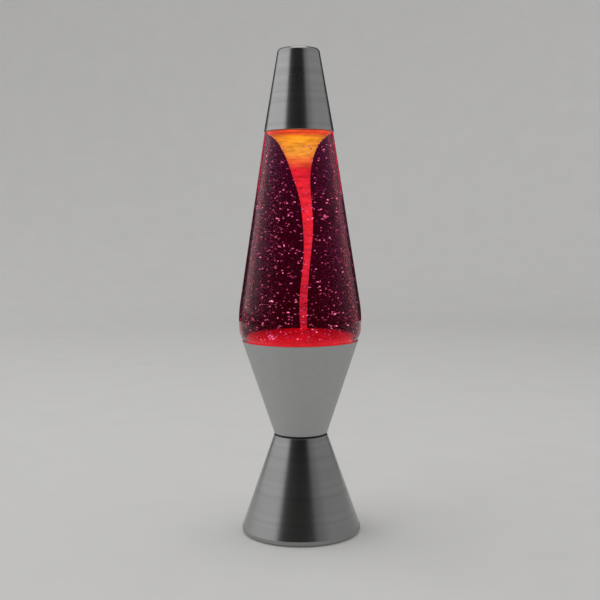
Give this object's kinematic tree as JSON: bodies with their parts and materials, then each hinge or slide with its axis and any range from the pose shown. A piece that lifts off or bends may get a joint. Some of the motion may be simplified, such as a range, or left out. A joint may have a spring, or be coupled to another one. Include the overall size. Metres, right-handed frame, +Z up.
{
  "type": "vortex lamp",
  "caption": "Hourglass metal lamp base holding a tapered glass bottle of dark red liquid and glitter, stirred into a vortex by a magnet drive, with a metal cap over its neck.",
  "frame": {"origin": "on the ground, at the lamp's axis", "axes": "+Z up the axis to the cap; +Y to the back, where the switch and the power jack are; +X to the right seen from the front"},
  "size_m": [0.0936, 0.0936, 0.368],
  "materials": {
    "spun_aluminium": "spun, brushed round the axis, dark",
    "satin_aluminium": "satin, bead-blasted and anodised",
    "steel": "zinc plated",
    "plated_steel": "nickel plated",
    "black_plastic": "moulded, matt",
    "white_plastic": "moulded, matt",
    "red_plastic": "moulded, glossy",
    "rubber": "matt",
    "silicone": "matt",
    "ferrite": "sintered, matt",
    "bronze": "sintered",
    "brass": "stamped",
    "white_board": "solder mask, satin",
    "circuit_board": "solder mask, satin",
    "led": "clear resin over a lit chip",
    "frosted_lens": "frosted",
    "capacitor_sleeve": "shrink sleeve",
    "lead_insulation": "extruded",
    "copper": "enamelled wire",
    "magnet": "nickel plated",
    "globe_glass": "polished",
    "liquid": "dark red, clear",
    "glitter": "metallised film",
    "crown_tinplate": "lacquered"
  },
  "bodies": {
    "base": {"lower_cone": "spun_aluminium", "upper_funnel": "satin_aluminium", "base_tabs": "steel", "bottom_plate": "black_plastic", "bottom_screws": "steel", "foot_pads": "rubber", "waist_ring": "black_plastic", "waist_screws": "steel", "inner_chassis": "white_plastic", "motor_can": "plated_steel", "motor_magnet_ring": "ferrite", "motor_end_cap": "white_plastic", "motor_bushes": "bronze", "motor_terminals": "brass", "motor_screws": "steel", "led_board": "white_board", "leds": "led", "lens_plate": "frosted_lens", "seat_ring": "silicone", "driver_board": "circuit_board", "board_screws": "steel", "board_capacitor": "capacitor_sleeve", "board_coil": "ferrite", "board_chip": "black_plastic", "wire_sockets": "white_plastic", "power_jack": "black_plastic", "jack_pin": "plated_steel", "jack_nut": "plated_steel", "switch_housing": "black_plastic", "switch_terminals": "brass", "jack_leads": "lead_insulation", "switch_leads": "lead_insulation", "motor_leads": "lead_insulation", "led_leads": "lead_insulation"},
    "rotor": {"motor_shaft": "steel", "motor_armature": "steel", "motor_windings": "copper", "magnet_carrier": "white_plastic", "drive_magnets": "magnet"},
    "globe": {"glass_globe": "globe_glass", "liquid": "liquid", "glitter": "glitter", "crown_cap": "crown_tinplate", "crown_liner": "silicone"},
    "stirrer": {"stir_bar": "white_plastic", "stir_magnet": "magnet"},
    "cap": {"cap": "spun_aluminium"},
    "rocker": {"rocker": "red_plastic"}
  },
  "joints": [
    {"name": "globe_lift", "type": "slide", "parent": "base", "child": "globe", "axis": [0, 0, 1], "range_m": [0, 0.06]},
    {"name": "cap_lift", "type": "slide", "parent": "globe", "child": "cap", "axis": [0, 0, 1], "range_m": [0, 0.06]},
    {"name": "motor_spin", "type": "hinge", "parent": "base", "child": "rotor", "pos_m": [0, 0, 0.09], "axis": [0, 0, 1], "continuous": true},
    {"name": "stir_spin", "type": "hinge", "parent": "globe", "child": "stirrer", "pos_m": [0, 0, 0.1217], "axis": [0, 0, 1], "continuous": true},
    {"name": "switch_rock", "type": "hinge", "parent": "base", "child": "rocker", "pos_m": [0, 0.03298, 0.03551], "axis": [1, 0, 0], "range_deg": [-20, 0]}
  ],
  "couplings": [
    {"joint": "stir_spin", "follows": "motor_spin", "ratio": 1}
  ]
}
